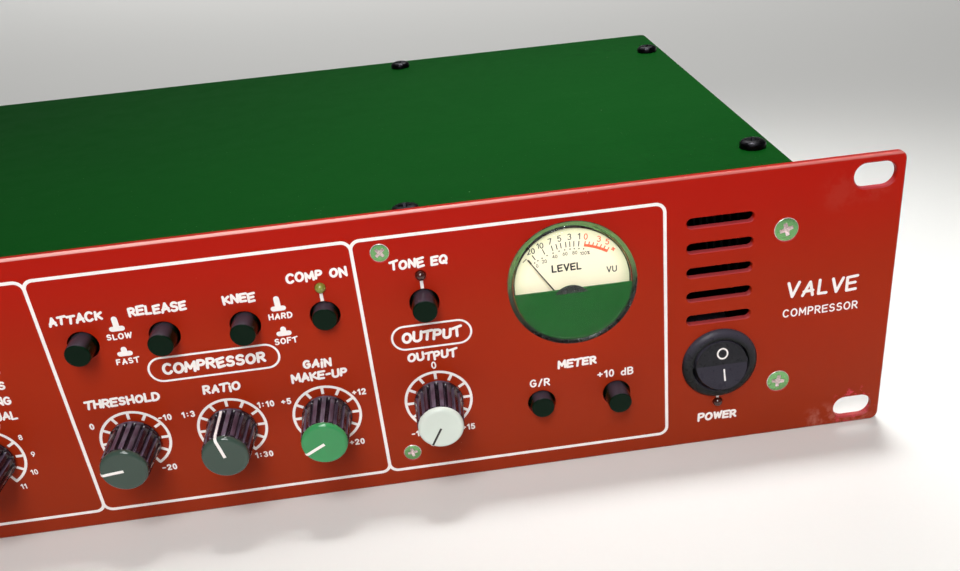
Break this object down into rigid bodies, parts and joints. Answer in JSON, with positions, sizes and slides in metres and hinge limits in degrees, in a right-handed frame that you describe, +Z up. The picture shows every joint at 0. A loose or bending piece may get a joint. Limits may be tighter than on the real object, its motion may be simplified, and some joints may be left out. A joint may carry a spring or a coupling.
{
  "type": "rack compressor",
  "caption": "Two-unit rack-mount audio compressor: red control panel with knobs, buttons, level meter and power rocker on a shallow green steel case.",
  "frame": {"origin": "middle of the front panel's rear face, the plane that meets the rack rails", "axes": "+X to the right seen from the front, +Y into the case, +Z up"},
  "size_m": [0.4826, 0.2161, 0.0882],
  "materials": {
    "red_paint": "semi-gloss powder coat",
    "green_paint": "semi-gloss paint",
    "black_screw": "black oxide",
    "zinc": "zinc plated",
    "board_green": "solder mask",
    "pot_blue": "satin",
    "switch_black": "satin",
    "olive_lens": "diffused lens",
    "red_lens": "diffused lens",
    "meter_black": "moulded",
    "dial_cream": "matt print",
    "clear_cover": "clear moulding",
    "mask_green": "moulded",
    "needle_black": "black paint",
    "rocker_black": "moulded",
    "knob_black": "moulded",
    "cap_grey": "satin",
    "cap_orange": "satin",
    "cap_green": "satin",
    "cap_white": "satin",
    "button_green": "satin",
    "transformer_wrap": "polyester tape over copper",
    "capacitor_sleeve": "sleeved can",
    "sink_aluminium": "extruded",
    "valve_glass": "clear glass",
    "ceramic": "glazed",
    "pin_metal": "nickel plated",
    "connector_shell": "satin nickel",
    "ribbon_grey": "ribbon"
  },
  "bodies": {
    "root": {"front_panel": "red_paint", "chassis_tray": "green_paint", "rear_panel": "green_paint", "top_cover": "green_paint", "cover_screws": "black_screw", "panel_screws": "zinc", "rear_screws": "black_screw", "control_board": "board_green", "control_board_spacers": "zinc", "potentiometers": "pot_blue", "preset_switch": "switch_black", "push_switches": "switch_black", "comp_on_lamp": "olive_lens", "red_lamps": "red_lens", "meter_case": "meter_black", "meter_dial": "dial_cream", "meter_cover": "clear_cover", "meter_mask": "mask_green", "rocker_housing": "rocker_black", "main_board": "board_green", "board_standoffs": "zinc", "toroidal_transformer": "transformer_wrap", "transformer_clamp": "zinc", "filter_capacitors": "capacitor_sleeve", "heat_sink": "sink_aluminium", "valves": "valve_glass", "valve_sockets": "ceramic", "mains_inlet": "switch_black", "inlet_pins": "pin_metal", "microphone_socket": "connector_shell", "output_connector": "connector_shell", "jack_sockets": "switch_black", "jack_nuts": "zinc", "ribbon_cable": "ribbon_grey"},
    "gain_control": {"gain_knob": "knob_black", "gain_cap": "cap_grey"},
    "preset_control": {"preset_knob": "knob_black", "preset_cap": "cap_orange"},
    "threshold_control": {"threshold_knob": "knob_black", "threshold_cap": "cap_grey"},
    "ratio_control": {"ratio_knob": "knob_black", "ratio_cap": "cap_grey"},
    "makeup_control": {"makeup_knob": "knob_black", "makeup_cap": "cap_green"},
    "output_control": {"output_knob": "knob_black", "output_cap": "cap_white"},
    "phantom_push": {"phantom_button": "button_green"},
    "pad_push": {"pad_button": "button_green"},
    "phase_push": {"phase_button": "button_green"},
    "attack_push": {"attack_button": "button_green"},
    "release_push": {"release_button": "button_green"},
    "knee_push": {"knee_button": "button_green"},
    "comp_on_push": {"comp_on_button": "button_green"},
    "eq_push": {"eq_button": "button_green"},
    "reduction_push": {"reduction_button": "button_green"},
    "range_push": {"range_button": "button_green"},
    "rocker": {"power_rocker": "rocker_black"},
    "needle": {"meter_needle": "needle_black"},
    "latch": {"microphone_latch": "zinc"},
    "fuse_holder": {"fuse_drawer": "switch_black"}
  },
  "joints": [
    {"name": "gain_turn", "type": "hinge", "parent": "root", "child": "gain_control", "pos_m": [-0.1297, -0.01, -0.0157], "axis": [0, 1, 0], "range_deg": [-90, 210]},
    {"name": "preset_turn", "type": "hinge", "parent": "root", "child": "preset_control", "pos_m": [-0.0257, -0.01, -0.0157], "axis": [0, 1, 0], "range_deg": [-60, 240]},
    {"name": "threshold_turn", "type": "hinge", "parent": "root", "child": "threshold_control", "pos_m": [0.01575, -0.01, -0.0157], "axis": [0, 1, 0], "range_deg": [-55, 245]},
    {"name": "ratio_turn", "type": "hinge", "parent": "root", "child": "ratio_control", "pos_m": [0.0436, -0.01, -0.0157], "axis": [0, 1, 0], "range_deg": [-137, 163]},
    {"name": "makeup_turn", "type": "hinge", "parent": "root", "child": "makeup_control", "pos_m": [0.0712, -0.01, -0.0157], "axis": [0, 1, 0], "range_deg": [-33, 267]},
    {"name": "output_turn", "type": "hinge", "parent": "root", "child": "output_control", "pos_m": [0.1041, -0.01, -0.0157], "axis": [0, 1, 0], "range_deg": [0, 300]},
    {"name": "phantom_press", "type": "slide", "parent": "root", "child": "phantom_push", "axis": [0, 1, 0], "range_m": [0, 0.003]},
    {"name": "pad_press", "type": "slide", "parent": "root", "child": "pad_push", "axis": [0, 1, 0], "range_m": [0, 0.003]},
    {"name": "phase_press", "type": "slide", "parent": "root", "child": "phase_push", "axis": [0, 1, 0], "range_m": [0, 0.003]},
    {"name": "attack_press", "type": "slide", "parent": "root", "child": "attack_push", "axis": [0, 1, 0], "range_m": [0, 0.003]},
    {"name": "release_press", "type": "slide", "parent": "root", "child": "release_push", "axis": [0, 1, 0], "range_m": [0, 0.003]},
    {"name": "knee_press", "type": "slide", "parent": "root", "child": "knee_push", "axis": [0, 1, 0], "range_m": [0, 0.003]},
    {"name": "comp_on_press", "type": "slide", "parent": "root", "child": "comp_on_push", "axis": [0, 1, 0], "range_m": [-0.003, 0]},
    {"name": "eq_press", "type": "slide", "parent": "root", "child": "eq_push", "axis": [0, 1, 0], "range_m": [0, 0.003]},
    {"name": "reduction_press", "type": "slide", "parent": "root", "child": "reduction_push", "axis": [0, 1, 0], "range_m": [-0.003, 0]},
    {"name": "range_press", "type": "slide", "parent": "root", "child": "range_push", "axis": [0, 1, 0], "range_m": [0, 0.003]},
    {"name": "power_rock", "type": "hinge", "parent": "root", "child": "rocker", "pos_m": [0.1891, -0.002, -0.0156], "axis": [1, 0, 0], "range_deg": [0, 26]},
    {"name": "needle_swing", "type": "hinge", "parent": "root", "child": "needle", "pos_m": [0.1454, -0.003, 0.0086], "axis": [0, 1, 0], "range_deg": [0, 67], "stiffness_Nm_per_rad": 0.00001},
    {"name": "latch_press", "type": "slide", "parent": "root", "child": "latch", "axis": [0, 0, -1], "range_m": [0, 0.0014], "stiffness_N_per_m": 300},
    {"name": "fuse_pull", "type": "slide", "parent": "root", "child": "fuse_holder", "axis": [0, 1, 0], "range_m": [0, 0.018]}
  ]
}
